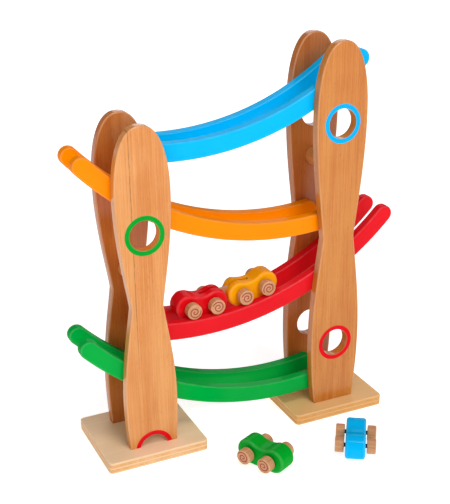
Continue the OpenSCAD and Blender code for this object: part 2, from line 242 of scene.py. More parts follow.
def woodGrain(finish, point, along, tones):
    # Solid grain along one axis: broad bands, fine streaks and short dark pores, each a noise stretched that
    # way. A smooth step over the weighted sum of bands, streaks and a cloud goes from deep to pale wood.
    def stretched(key):
        across, lengthways = woodFigure[key]
        scale = [across] * 3
        scale[along] = lengthways
        return finish.mapped(point, scale)
    bands = finish.noise(stretched("bands"), 1.0, 3, 0.55, 0.6)
    streaks = finish.noise(stretched("streaks"), 1.0, 4, 0.65)
    pores = finish.step(finish.noise(stretched("pores")), 0.60, 0.74)
    cloud = finish.noise(point, woodFigure["cloud"])
    bandShare, streakShare, cloudShare = woodFigure["shares"]
    tone = finish.step(bandShare * bands + streakShare * streaks + cloudShare * cloud, 0.37, 0.63)
    wood = finish.tint(tone, paintColour(*tones["deep"]), paintColour(*tones["pale"]))
    wood = finish.tint(pores * 0.45, wood, paintColour(*tones["pore"]))
    return wood, streaks, pores


boardWood = {  # varnished beech
    "pale": (224, 155, 88), "deep": (205, 123, 52), "pore": (156, 84, 34), "seam": (104, 56, 26),
}
# tone of the painted highlight along the boards' eased edges
boardEdgeHighlight = (250, 205, 165)


def boardFinish(name, place, shade, rings, face, seams):
    # Varnished upright board: vertical grain, glue seams where the distance from a wandering line is small,
    # and on the outer face a painted ring where the distance from a hole's centre lies between two radii
    finish = Finish(name)
    point = finish.objectPoint()
    x, y, z = finish.axes(point)
    # shade scales the wood's tones: painted shade on the rear boards, and in part on the right front board
    tones = shaded(boardWood, shade)
    wood, streaks, pores = woodGrain(finish, finish.mapped(point, place=place), 2, tones)
    height = 0.5 * streaks - 0.4 * pores
    for seamX, low, high in seams:
        wander = finish.noise(finish.mapped(point, (0, 0, 0.03))) * 1.6 - 0.8
        patches = finish.noise(finish.mapped(point, (0, 0, 0.11)), 1.0, 3)
        worn = 0.55 + 0.45 * finish.step(patches, 0.36, 0.62)
        line = 1 - finish.step(abs(x - seamX + wander), 0.15, 0.75)
        seam = line * finish.step(z, low, high) * worn
        wood = finish.tint(seam * 0.75, wood, paintColour(*tones["seam"]))
        strip = 1 - finish.step(x + wander, seamX - 0.4, seamX + 0.4)  # the strip left of the seam is paler
        wood = finish.tint(strip * 0.25, wood, paintColour(*tones["pale"]))
    paint = None
    for ringX, ringZ, inner, outer, colour in rings:
        reach = ((x - ringX) ** 2 + (z - ringZ) ** 2) ** 0.5
        ragged = reach + 0.35 * finish.noise(point, 0.5)
        ring = 1 - finish.step(ragged, outer - 0.1, outer + 0.35)
        ring = ring * finish.step(reach, inner - 0.1, inner + 0.1)
        ring = ring * (1 - finish.step(abs(y - face), 0.55, 0.75))
        wood = finish.tint(ring, wood, paintColour(*colour))
        paint = ring if paint is None else paint.math("MAXIMUM", ring)
    # painted highlight: eased edges are tinted paler, standing for the varnish's light line
    wood = finish.tint(finish.ownNumber("edge") * 0.22, wood, paintColour(*boardEdgeHighlight))
    rough = 0.36 + 0.12 * streaks
    varnish = 0.75 + 0.20 * finish.noise(point, 0.05, 1)
    if paint is not None:
        height = height * (1 - 0.8 * paint) + 0.9 * paint
        rough = rough - 0.10 * paint
        varnish = varnish * (1 - 0.85 * paint)
    return finish.done({
        "Base Color": wood,
        "Roughness": rough,
        "Coat Weight": varnish,
        "Coat Roughness": 0.22,
        "Specular IOR Level": 0.0,  # the varnish alone shines
        "Normal": finish.bump(height, 0.12, 0.6),
    })


plyWood = {
    "pale": (248, 213, 176), "deep": (241, 203, 163), "pore": (229, 186, 144),
    "core": (212, 156, 92), "line": (168, 112, 62),
}
# tone of the painted highlight along the plates' eased edges
plyEdgeHighlight = (255, 226, 184)
plyDepth = {
    "skin": 0.6, "cut": 1.0,  # mm below a face where its veneer ends and the cut edge is at its full tone
    "wave": 0.9,  # mm that the plies rise and fall
}


def plyFinish(name, place, tone, plies, thick):
    # Plywood as a solid: the height times plies over thickness counts the plies, every second one has its
    # grain turned, and a thin dark glue line lies where that count is near a whole number
    finish = Finish(name)
    point = finish.objectPoint()
    shifted = finish.mapped(point, place=place)
    z = finish.axes(point)[2]
    # tone scales the plywood; on the right plate it is partly painted shade
    tones = shaded(plyWood, tone)
    longWood, streaks, pores = woodGrain(finish, shifted, 0, tones)
    crossTones = dict(tones, pale=tones["deep"], deep=tones["core"])
    crossWood, _, crossPores = woodGrain(finish, shifted, 1, crossTones)
    skin, cut = plyDepth["skin"], plyDepth["cut"]
    wave = finish.noise(finish.mapped(shifted, (0.02, 0.02, 0))) - 0.5
    depth = z.math("MAXIMUM", skin).math("MINIMUM", thick - skin)  # the faces stay within the outer plies
    layer = (depth + plyDepth["wave"] * wave) * (plies / thick)
    crossed = finish.step(abs((layer * 0.5).math("FRACT") - 0.75), 0.262, 0.238)
    wood = finish.tint(crossed, longWood, crossWood)
    gap = abs((layer + 0.5).math("FRACT") - 0.5)
    glue = 1 - finish.step(gap, 0.03, 0.09)
    inside = finish.step(z, skin, cut) * (1 - finish.step(z, thick - cut, thick - skin))
    wood = finish.tint(inside * 0.45, wood, paintColour(*tones["core"]))  # cut edges are deeper than faces
    wood = finish.tint(glue * inside * 0.55, wood, paintColour(*tones["line"]))
    # painted highlight: eased edges are tinted paler
    wood = finish.tint(finish.ownNumber("edge") * 0.12, wood, paintColour(*plyEdgeHighlight))
    return finish.done({
        "Base Color": wood,
        "Roughness": 0.50 + 0.14 * streaks,
        "Coat Weight": 0.05 + 0.06 * finish.noise(point, 0.05, 1),
        "Coat Roughness": 0.35,
        "Specular IOR Level": 0.15,
        "Normal": finish.bump(0.5 * streaks - 0.4 * pores - 0.4 * crossed * crossPores, 0.12, 0.6),
    })


turnedWood = {"pale": (218, 164, 120), "deep": (190, 132, 86), "pore": (146, 92, 58)}
turnedEdge = (250, 214, 172)
treeRings = {"heart": (-21, 13), "pitch": 1.9}  # mm from the first wheel's middle, mm from ring to ring
spiral = {
    "colour": (146, 16, 32),
    "pitch": 3.6, "line": 1.35, "turns": (0.16, 1.98),  # mm between arms, mm wide, first and last turn
    "depth": (0.3, 0.5),  # mm from the outer face where the paint ends
}


def wheelFinish(name):
    # Turned wheel: end grain on the faces that runs into streaks on the tread, tree rings as a sine of the
    # distance from the heart, and a painted spiral where radius over pitch is angle over a full turn plus a
    # whole number
    finish = Finish(name)
    across, up, inwards = finish.axes(finish.ownPoint("disc"))
    grainPoint = finish.ownPoint("grain")
    wood, streaks, pores = woodGrain(finish, grainPoint, 2, turnedWood)
    grainX, grainY, _ = finish.axes(grainPoint)
    heartX, heartY = treeRings["heart"]
    heart = ((grainX - heartX) ** 2 + (grainY - heartY) ** 2) ** 0.5 + 1.4 * finish.noise(grainPoint, 0.12)
    rings = (heart * (2 * math.pi / treeRings["pitch"])).math("SINE") * 0.5 + 0.5
    wood = finish.tint(rings * 0.16, wood, paintColour(*turnedWood["pore"]))
    pitch, half = spiral["pitch"], spiral["line"] / 2
    first, last = spiral["turns"]
    radius = (across ** 2 + up ** 2) ** 0.5
    turn = up.math("ARCTAN2", across) / (2 * math.pi)
    place = (radius / pitch - turn).math("ROUND") + turn
    shaky = 0.10 * finish.noise(grainPoint, 0.7) - 0.05
    off = abs(radius / pitch - place + shaky) * pitch
    line = 1 - finish.step(off, half - 0.12, half + 0.12)
    line = line * finish.step(place, first - 0.02, first + 0.02)
    line = line * (1 - finish.step(place, last - 0.02, last + 0.02))
    line = line * (1 - finish.step(inwards, *spiral["depth"]))
    wood = finish.tint(line * 0.92, wood, paintColour(*spiral["colour"]))
    wood = finish.tint(finish.ownNumber("edge") * 0.25, wood, paintColour(*turnedEdge))
    return finish.done({
        "Base Color": wood,
        "Roughness": 0.46 + 0.14 * streaks - 0.1 * line,
        "Coat Weight": 0.06 + 0.06 * streaks,
        "Coat Roughness": 0.3,
        "Specular IOR Level": 0.25,
        "Normal": finish.bump(0.5 * streaks - 0.4 * pores + 0.5 * line, 0.1, 0.6),
    })


def plainWoodFinish(name, along, tones, place):
    # Bare or oiled wood for the dowels, the pins and the link: the solid grain along one axis, shifted
    finish = Finish(name)
    point = finish.objectPoint()
    wood, streaks, pores = woodGrain(finish, finish.mapped(point, place=place), along, tones)
    return finish.done({
        "Base Color": wood,
        "Roughness": 0.48 + 0.14 * streaks,
        "Coat Weight": 0.15 + 0.1 * streaks,
        "Coat Roughness": 0.3,
        "Normal": finish.bump(0.5 * streaks - 0.4 * pores, 0.1, 0.6),
    })


def steelFinish(name, pale, deep, along, metallic, rough):
    # Drawn steel: noise stretched along its length and a mottle mix two tones, a step over noise makes rubs
    finish = Finish(name)
    point = finish.objectPoint()
    scale = [1.6] * 3
    scale[along] = 0.05
    lines = finish.noise(finish.mapped(point, scale), 1.0, 3, 0.6)
    mottle = finish.noise(point, 0.35, 3)
    rubs = finish.step(finish.noise(point, 0.8, 4, 0.7), 0.60, 0.72)
    tone = finish.tint(0.6 * lines + 0.4 * mottle, paintColour(*deep), paintColour(*pale))
    return finish.done({
        "Base Color": finish.tint(rubs * 0.25, tone, paintColour(*(np.array(pale) * 0.5 + 90))),
        "Metallic": metallic,
        "Roughness": rough + 0.18 * mottle - 0.1 * rubs,
        "Normal": finish.bump(lines, 0.04, 0.5),
    })


# surfaces

class Skin:
    # One closed piece: points that its patches share, faces with a normal at each corner, and its own
    # attributes. A place has three rows of axes u, v, w and an origin, in mm.
    def __init__(self, axes, origin):
        self.axes = np.array(axes, float)
        self.origin = np.array(origin, float)
        self.points, self.edges = [], []
        self.patches = {3: [], 4: []}
        self.total = 0

    def add(self, u, v, w, edge=0.0):
        grid = np.stack(np.broadcast_arrays(u, v, w), -1).astype(float)
        ids = self.total + np.arange(grid[..., 0].size).reshape(grid.shape[:-1])
        self.points.append((grid @ self.axes + self.origin).reshape(-1, 3))
        self.edges.append(np.broadcast_to(edge, ids.shape).ravel())
        self.total += ids.size
        return ids

    def aim(self, u, v, w):
        return np.stack(np.broadcast_arrays(u, v, w), -1).astype(float) @ self.axes

    def faces(self, ids, normals):  # rows of corners, turned round where they run against their normals
        at = np.concatenate(self.points)[ids]
        spokes = at[:, 1:] - at[:, :1]
        turn = np.cross(spokes[:, :-1], spokes[:, 1:]).sum(1)
        wrong = (turn * normals.sum(1)).sum(1) < 0
        ids, normals = ids.copy(), normals.copy()
        ids[wrong], normals[wrong] = ids[wrong, ::-1], normals[wrong, ::-1]
        self.patches[ids.shape[1]].append((ids, normals))

    def band(self, ids, before, after, roundRows=False, roundColumns=False, keep=None):
        # Quads between neighbouring rows and columns of a grid. A row has one normal for the cells before it
        # and one for the cells after it, so a corner of the outline stays sharp.
        def rows(grid, following):
            if roundRows:
                return np.roll(grid, -1, 0) if following else grid
            return grid[1:] if following else grid[:-1]

        def columns(grid, following):
            if roundColumns:
                return np.roll(grid, -1, 1) if following else grid
            return grid[:, 1:] if following else grid[:, :-1]
        order = [(False, False), (True, False), (True, True), (False, True)]
        corners = np.stack([columns(rows(ids, r), c) for r, c in order], -1)
        normals = np.stack([columns(rows(before if r else after, r), c) for r, c in order], -2)
        keep = np.ones(corners.shape[:2], bool) if keep is None else keep
        self.faces(corners[keep], normals[keep])

    def fill(self, loops, u, v, w):  # flat face between closed loops of shared points
        at = np.concatenate(self.points)
        ids = np.concatenate(loops)
        corners = ids[np.array(tessellate_polygon([at[loop].tolist() for loop in loops]))]
        self.faces(corners, np.broadcast_to(self.aim(u, v, w), (*corners.shape, 3)))

    def piece(self, name, material, body, node, slot, attributes=None):
        mesh = bpy.data.meshes.new(name)
        kinds = [kind for kind in (4, 3) if self.patches[kind]]
        corners = [np.concatenate([ids for ids, _ in self.patches[kind]]) for kind in kinds]
        normals = [np.concatenate([n for _, n in self.patches[kind]]).reshape(-1, 3) for kind in kinds]
        points = np.concatenate(self.points) * mm
        mesh.from_pydata(points.tolist(), [], [face for part in corners for face in part.tolist()])
        mesh.shade_smooth()
        mesh.normals_split_custom_set(np.concatenate(normals).tolist())
        edge = mesh.attributes.new("edge", "FLOAT", "POINT")
        edge.data.foreach_set("value", np.concatenate(self.edges).astype(np.float32))
        for key, values in (attributes or {}).items():
            own = mesh.attributes.new(key, "FLOAT_VECTOR", "POINT")
            own.data.foreach_set("vector", values.astype(np.float32).ravel())
        mesh.materials.append(material)
        made = bpy.data.objects.new(name, mesh)
        bpy.context.scene.collection.objects.link(made)
        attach(made, body)
        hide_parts(node)
        return made


def arcPart(centre, radius, start, end, steps, outwards=1):
    # Circle from one angle to another in degrees; its normals point away from the centre, or towards it
    turn = np.radians(np.linspace(start, end, steps + 1))
    ray = np.stack([np.cos(turn), np.sin(turn)], 1)
    return np.array(centre) + radius * ray, outwards * ray


def linePart(start, end, steps):  # straight run, with the normal on its right
    start, end = np.array(start, float), np.array(end, float)
    run = end - start
    normal = np.array([run[1], -run[0]]) / np.hypot(*run)
    return start + np.linspace(0, 1, steps + 1)[:, None] * run, np.repeat(normal[None], steps + 1, 0)


def curvePart(points):  # free curve, with normals on the right of its own slope
    slope = np.gradient(points, axis=0, edge_order=2)
    normal = np.stack([slope[:, 1], -slope[:, 0]], 1)
    return points, normal / np.linalg.norm(normal, axis=1, keepdims=True)


class Outline:
    # Closed outline from parts that meet end to end, with a normal before and after each point. The inset of
    # a corner follows its mitre: minus the sum of the two normals over one plus their dot product.
    def __init__(self, parts):
        lengths = [len(points) - 1 for points, _ in parts]
        self.starts = np.cumsum([0] + lengths[:-1])
        self.points = np.concatenate([points[:-1] for points, _ in parts])
        self.after = np.concatenate([normals[:-1] for _, normals in parts])
        self.before = self.after.copy()
        self.before[self.starts] = [parts[i - 1][1][-1] for i in range(len(parts))]
        self.inset = -(self.before + self.after) / (1 + (self.before * self.after).sum(1, keepdims=True))


def edgeBand(skin, outline, half, ease, steps=6, between=(), slotCells=0):
    # Edge of a slab carried along an outline: a quarter round, a straight side and a quarter round. At turn
    # t the band lies ease * (1 - sin t) inside the outline and ease * (1 - cos t) inside the flat face. The
    # first slotCells cells stay open between the two places that are given as between.
    quarter = np.linspace(0, np.pi / 2, steps + 1)
    slant = np.concatenate([quarter, np.full(len(between), np.pi / 2), quarter[::-1]])
    side = np.concatenate([-np.ones(steps + 1), np.zeros(len(between)), np.ones(steps + 1)])
    ease = np.broadcast_to(ease, len(outline.points))[:, None]
    inwards = ease * (1 - np.sin(slant))
    across = side * (half - ease * (1 - np.cos(slant)))
    across[:, steps + 1:steps + 1 + len(between)] = between
    u = outline.points[:, :1] + inwards * outline.inset[:, :1]
    v = outline.points[:, 1:] + inwards * outline.inset[:, 1:]
    ids = skin.add(u, v, across, np.sin(2 * slant)[None])

    def leaning(normal):
        return skin.aim(normal[:, :1] * np.sin(slant), normal[:, 1:] * np.sin(slant), side * np.cos(slant))
    keep = np.ones((len(ids), ids.shape[1] - 1), bool)
    keep[:slotCells, steps + 1] = slotCells == 0
    skin.band(ids, leaning(outline.before), leaning(outline.after), roundRows=True, keep=keep)
    return ids


def roundHole(centre, radius, steps):
    return Outline([arcPart(centre, radius, 0, 360, steps, outwards=-1)])


def boreWall(skin, hole, low, high):  # sharp-edged wall of a hole between two depths
    ids = skin.add(hole.points[:, :1], hole.points[:, 1:], np.array([[low, high]]))
    normals = np.repeat(skin.aim(hole.after[:, 0], hole.after[:, 1], 0)[:, None], 2, 1)
    skin.band(ids, normals, normals, roundRows=True)
    return ids[:, 0], ids[:, 1]


def slab(skin, outline, half, ease, holes=(), holeEase=0.0):
    # Flat piece with eased edges and round holes through it
    rims = [edgeBand(skin, outline, half, ease)]
    rims += [edgeBand(skin, hole, half, holeEase, steps=4) for hole in holes]
    skin.fill([rim[:, 0] for rim in rims], 0, 0, -1)
    skin.fill([rim[:, -1] for rim in rims], 0, 0, 1)


# base plates

plateSize = {
    "width": 120, "depth": 112, "thick": 13.5, "corner": 5, "ease": 1.1, "plies": 5,
    "screwReach": (21.5, 32), "wellRadius": 4.1, "wellDepth": 3,
    "sideSteps": 24, "cornerSteps": 10, "wellSteps": 40,
}
towerX = {"left": 0.0, "right": 237.0}
plateLook = {  # shift of the grain in mm, and tone; the right plate's darker, warmer tone is partly painted shade
    "left": {"grain": (31, 17, 0), "tone": (1.02, 1.02, 1.02)},
    "right": {"grain": (230, 17, 0), "tone": (0.96, 0.90, 0.75)},
}


def basePlate(side):
    # Rounded rectangle stacked along Z, with a flat-topped well over each screw head in its underside
    wide, deep, corner = plateSize["width"] / 2, plateSize["depth"] / 2, plateSize["corner"]
    half = plateSize["thick"] / 2
    run, bend = plateSize["sideSteps"], plateSize["cornerSteps"]
    skin = Skin(np.eye(3), (towerX[side], 0, half))
    a, b = wide - corner, deep - corner
    outline = Outline([
        linePart((-a, -deep), (a, -deep), run), arcPart((a, -b), corner, -90, 0, bend),
        linePart((wide, -b), (wide, b), run), arcPart((a, b), corner, 0, 90, bend),
        linePart((a, deep), (-a, deep), run), arcPart((-a, b), corner, 90, 180, bend),
        linePart((-wide, b), (-wide, -b), run), arcPart((-a, -b), corner, 180, 270, bend),
    ])
    rim = edgeBand(skin, outline, half, plateSize["ease"])
    skin.fill([rim[:, -1]], 0, 0, 1)
    mouths = []
    reachX, reachY = plateSize["screwReach"]
    for x, y in [(-reachX, -reachY), (reachX, -reachY), (reachX, reachY), (-reachX, reachY)]:
        well = roundHole((x, y), plateSize["wellRadius"], plateSize["wellSteps"])
        mouth, top = boreWall(skin, well, -half, plateSize["wellDepth"] - half)
        skin.fill([top], 0, 0, -1)
        mouths.append(mouth)
    skin.fill([rim[:, 0], *mouths], 0, 0, -1)
    look = plateLook[side]
    finish = plyFinish(side + "Ply", look["grain"], look["tone"], plateSize["plies"], plateSize["thick"])
    return skin.piece(side + "BasePlate", finish, "stand", side + "_base_plate", "plywood")


for towerSide in towerX:
    basePlate(towerSide)
print("base plates:", len(towerX))


# upright boards

boardSize = {
    "thick": 12, "middle": 32, "ease": 1.9, "footEase": 0.3, "footRun": 6, "crown": 2.3, "fullness": 1.1,
    "holeRadius": 17, "holeEase": 0.5, "ringRadius": 22.4,
}
boardSteps = {  # steps along each stretch of the outline
    "foot": 8, "side": 180, "crown": 40, "whole": 430,
    "footLine": 12, "archFoot": 4, "arch": 48, "hole": 72,
}
boardShape = {  # heights and half widths in mm
    "left": {
        "foot": (plateSize["thick"], 28.2), "flare": (70, 30.7), "waist": (187, 18.3),
        "shoulder": (310, 31.3), "top": 387.5,
    },
    "right": {
        "foot": (plateSize["thick"], 26.6), "flare": (98, 32.2), "waist": (228, 20.3),
        "shoulder": (368, 32.0), "top": 452.5,
    },
}
ringPaint = {"green": (0, 156, 44), "blue": (0, 172, 246), "red": (222, 12, 28)}
rightHoles = [(362.0, "blue"), (92.2, "red")]
# Shift of the grain in mm, a colour scale (painted shade on the rear boards, whose inner faces lie in
# shadow, and on the right front board partly painted shade and partly its own more golden tone), glue seams
# as a place along X and the two heights between which they fade in, and the heights of the holes and of the
# foot arch's centre with the colours of their rings
boardLook = {
    ("left", "front"): {
        "grain": (13, 40, 5), "shade": (1.0, 1.0, 1.0), "seams": [(-13.5, 60, 190)],
        "holes": [(269.8, "green")], "arch": (9.6, "red"),
    },
    ("left", "rear"): {
        "grain": (140, 7, 90), "shade": (0.88, 0.77, 0.64), "seams": [], "holes": [], "arch": None,
    },
    ("right", "front"): {
        "grain": (57, 91, 33), "shade": (0.92, 0.86, 0.65), "seams": [], "holes": rightHoles, "arch": None,
    },
    ("right", "rear"): {
        "grain": (250, 66, 12), "shade": (0.84, 0.72, 0.58), "seams": [], "holes": rightHoles, "arch": None,
    },
}


def boardHalf(shape, z):
    # Half width at a height: from the waist it swells with a power of a sine up to the shoulder and down to
    # the flare, and below the flare it narrows with the square of the distance
    (footZ, foot), (flareZ, flare) = shape["foot"], shape["flare"]
    (waistZ, waist), (shoulderZ, shoulder) = shape["waist"], shape["shoulder"]
    up = np.clip((z - waistZ) / (shoulderZ - waistZ), 0, 1)
    down = np.clip((waistZ - z) / (waistZ - flareZ), 0, 1)
    low = np.clip((flareZ - z) / (flareZ - footZ), 0, 1)
    full = boardSize["fullness"]
    return (waist + (shoulder - waist) * np.sin(np.pi / 2 * up) ** full
            + (flare - waist) * np.sin(np.pi / 2 * down) ** full - (flare - foot) * low ** 2)


def boardOutline(shape, archZ):
    # Right edge up from the foot, a squared-off ellipse over the top, left edge down, and the foot with its
    # arch. The foot's first points stay where they are, and the rest are spread evenly along the edge.
    footZ, foot = shape["foot"]
    shoulderZ, shoulder = shape["shoulder"]
    first = boardSteps["foot"]
    runZ = footZ + boardSize["footRun"]
    z = np.concatenate([np.linspace(footZ, runZ, first + 1)[:-1],
                        np.linspace(runZ, shoulderZ, boardSteps["side"])])
    right = np.stack([boardHalf(shape, z), z], 1)
    turn = np.linspace(0, np.pi / 2, boardSteps["crown"] + 1)[1:]
    power = 2 / boardSize["crown"]
    crownZ = shoulderZ + (shape["top"] - shoulderZ) * np.sin(turn) ** power
    crown = np.stack([shoulder * np.cos(turn) ** power, crownZ], 1)
    crown[-1] = 0, shape["top"]
    edge = np.concatenate([right, crown])
    loop = np.concatenate([edge, edge[-2::-1] * (-1, 1)])
    along = np.concatenate([[0], np.cumsum(np.hypot(*np.diff(loop, axis=0).T))])
    spread = np.linspace(along[first], along[-first - 1], boardSteps["whole"])
    even = np.unique(np.concatenate([along[:first + 1], spread, along[-first - 1:]]))
    smooth = np.stack([np.interp(even, along, loop[:, 0]), np.interp(even, along, loop[:, 1])], 1)
    parts = [curvePart(smooth)]
    if archZ is None:
        parts.append(linePart((-foot, footZ), (foot, footZ), boardSteps["footLine"]))
    else:
        radius = boardSize["holeRadius"]
        lean = np.degrees(np.arcsin((footZ - archZ) / radius))
        arch = arcPart((0, archZ), radius, 180 - lean, lean, boardSteps["arch"], outwards=-1)
        left, right = arch[0][0], arch[0][-1]
        steps = boardSteps["archFoot"]
        parts += [linePart((-foot, footZ), left, steps), arch, linePart(right, (foot, footZ), steps)]
    return Outline(parts)


def board(tower, side):
    # Slab in the X-Z plane whose edges are eased, less so at the foot where it stands on its plate
    shape, look = boardShape[tower], boardLook[tower, side]
    facing = -1 if side == "front" else 1
    skin = Skin([(1, 0, 0), (0, 0, 1), (0, 1, 0)], (towerX[tower], facing * boardSize["middle"], 0))
    outline = boardOutline(shape, look["arch"][0] if look["arch"] else None)
    lift = np.clip((outline.points[:, 1] - shape["foot"][0]) / boardSize["footRun"], 0, 1)
    ease = boardSize["footEase"] + (boardSize["ease"] - boardSize["footEase"]) * lift
    if look["arch"]:
        ease[outline.starts[2]:outline.starts[3]] = boardSize["footEase"]
    inner, outer = boardSize["holeRadius"], boardSize["ringRadius"]
    holes = [roundHole((0, z), inner, boardSteps["hole"]) for z, _ in look["holes"]]
    slab(skin, outline, boardSize["thick"] / 2, ease, holes, boardSize["holeEase"])
    ringed = look["holes"] + ([look["arch"]] if look["arch"] else [])
    rings = [(towerX[tower], z, inner, outer, ringPaint[colour]) for z, colour in ringed]
    face = facing * (boardSize["middle"] + boardSize["thick"] / 2)
    name = tower + side.capitalize() + "Board"
    finish = boardFinish(name, look["grain"], look["shade"], rings, face, look["seams"])
    return skin.piece(name, finish, "stand", tower + "_" + side + "_board", "board_wood")


for towerSide, boardSide in boardLook:
    board(towerSide, boardSide)
print("boards:", len(boardLook))


# track rails

railSize = {
    "middle": 20, "thick": 12, "high": 20.7, "radius": 328.95, "ease": 2.0,
    "arcSteps": 120, "endSteps": 28,
}
railArcs = {  # arc centre in X and Z, the way that it rises, and the angles of its ends from straight down
    "blue": ((53.0, 680.1), 1, (-7.45, 40.2)),
    "orange": ((181.5, 573.1), -1, (-7.89, 47.0)),
    "red": ((71.1, 471.6), 1, (-10.64, 45.6)),
    "green": ((176.1, 367.2), -1, (-8.84, 47.1)),
}
trackShade = 0.96  # the lacquer's deeper tone


def rail(colour, side, finish):
    # Arc band with round ends: the lower arc, the raised end, the running edge back, and the lower end
    (x, z), rise, (low, high) = railArcs[colour]
    radius, half = railSize["radius"], railSize["high"] / 2
    run, bend = railSize["arcSteps"], railSize["endSteps"]
    lowEnd, highEnd = (radius * np.array([np.sin(a), -np.cos(a)]) for a in np.radians([low, high]))
    facing = -1 if side == "front" else 1
    skin = Skin([(rise, 0, 0), (0, 0, 1), (0, 1, 0)], (x, facing * railSize["middle"], z))
    outline = Outline([
        arcPart((0, 0), radius + half, low - 90, high - 90, run),
        arcPart(highEnd, half, high - 90, high + 90, bend),
        arcPart((0, 0), radius - half, high - 90, low - 90, run, outwards=-1),
        arcPart(lowEnd, half, low + 90, low + 270, bend),
    ])
    slab(skin, outline, railSize["thick"] / 2, railSize["ease"])
    name = colour + side.capitalize() + "Rail"
    return skin.piece(name, finish, "stand", f"{colour}_{side}_rail", colour + "_lacquer")


for trackColour in railArcs:
    trackFinish = lacquerFinish(trackColour + "TrackLacquer", lacquers[trackColour], trackShade)
    for railSide in ("front", "rear"):
        rail(trackColour, railSide, trackFinish)
print("rails:", 2 * len(railArcs))


# cars

carSize = {
    "endRadius": 14.6, "endX": 17.4, "waist": 25.2, "half": 11.5, "ease": 3.0,
    "axleX": 14.4, "axleZ": 13.9, "bore": 2.55, "slot": 5.0,
    "bellySteps": 12, "endSteps": 56, "waistSteps": 16, "easeSteps": 8, "boreSteps": 32,
}
carShade = 0.95  # the lacquer's deeper tone
wheelSize = {
    "radius": 8.9, "inner": 13.2, "outer": 23.6, "ease": 1.2, "bore": 2.5, "boreDepth": 7.0,
    "easeSteps": 6, "spinSteps": 64,
    "grainShift": (3.1, 7.7, 40.0), "spiralShift": 47,  # mm and degrees from one wheel to the next
}
linkSize = {
    "pitch": 36.6, "thick": 4.4, "endRadius": 7.5, "rise": 3.4, "eye": 2.55, "ease": 0.8, "eyeEase": 0.3,
    "sideSteps": 12, "endSteps": 32, "grainShift": (9, 55, 21),
}
axleCircle = {"centre": railArcs["red"][0], "radius": 309.4}  # the train's axles lie on this circle


def chordAngle(length):  # half the angle of a chord of the axle circle, in degrees
    return math.degrees(math.asin(length / 2 / axleCircle["radius"]))


carAngle, linkAngle = chordAngle(2 * carSize["axleX"]), chordAngle(linkSize["pitch"])
redAngle = 0.8  # place of the red car on the red track, from the track's lowest point
carPlaces = {  # an angle on the red track, or a place and heading on the floor; the end with the slot
    "red": {"angle": redAngle, "slot": -1},
    "yellow": {"angle": redAngle + 2 * (carAngle + linkAngle), "slot": 1},
    "green": {"floor": (106.4, -111.0, -63.7), "slot": 0},
    "blue": {"floor": (214.1, -129.9, -122.7), "slot": 0},
}
spiralEnds = {  # where the spiral's outer end lies on the wheels that the camera sees, in degrees
    ("red", "front", "left"): 10, ("red", "rear", "left"): 157,
    ("yellow", "front", "left"): 150, ("yellow", "rear", "left"): 200,
    ("green", "front", "right"): 140, ("green", "rear", "right"): 155,
}


def trackPlace(angle, halfAngle):
    # Axes u along the red track towards +X, v up from the rails and w to the back, and the middle of the
    # chord between two axles that stand the half angle to either side
    a = math.radians(angle)
    axes = np.array([(math.cos(a), 0, math.sin(a)), (-math.sin(a), 0, math.cos(a)), (0, 1, 0)])
    x, z = axleCircle["centre"]
    return axes, np.array([x, 0, z]) - axleCircle["radius"] * math.cos(math.radians(halfAngle)) * axes[1]


def carPlace(colour):  # u is forwards, v is up and w is the car's left, from the middle of its belly
    place = carPlaces[colour]
    if "angle" in place:
        axes, middle = trackPlace(place["angle"], carAngle)
        return axes * np.array([[-1], [1], [-1]]), middle - carSize["axleZ"] * axes[1]
    x, y, heading = place["floor"]
    h = math.radians(heading)
    axes = np.array([(math.cos(h), math.sin(h), 0), (0, 0, 1), (-math.sin(h), math.cos(h), 0)])
    return axes, np.array([x, y, 0])


def carOutline(slotEnd):
    # Flat belly, round end, hollow waist that touches both round ends, round end. The half with the link's
    # slot comes first, and the waist's radius follows from its depth and the ends.
    endX, endR = carSize["endX"], carSize["endRadius"]
    lift = carSize["waist"] - endR
    waistR = (endX ** 2 + lift ** 2 - endR ** 2) / (2 * (endR - lift))
    waist = (0, carSize["waist"] + waistR)
    lean = math.degrees(math.atan2(waist[1] - endR, endX))
    belly, bend, hollow = carSize["bellySteps"], carSize["endSteps"], carSize["waistSteps"]
    rightParts = [
        linePart((0, 0), (endX, 0), belly), arcPart((endX, endR), endR, -90, 180 - lean, bend),
        arcPart(waist, waistR, -lean, -90, hollow, outwards=-1),
    ]
    leftParts = [
        arcPart(waist, waistR, -90, lean - 180, hollow, outwards=-1),
        arcPart((-endX, endR), endR, lean, 270, bend), linePart((-endX, 0), (0, 0), belly),
    ]
    return Outline(rightParts + leftParts if slotEnd >= 0 else leftParts + rightParts)


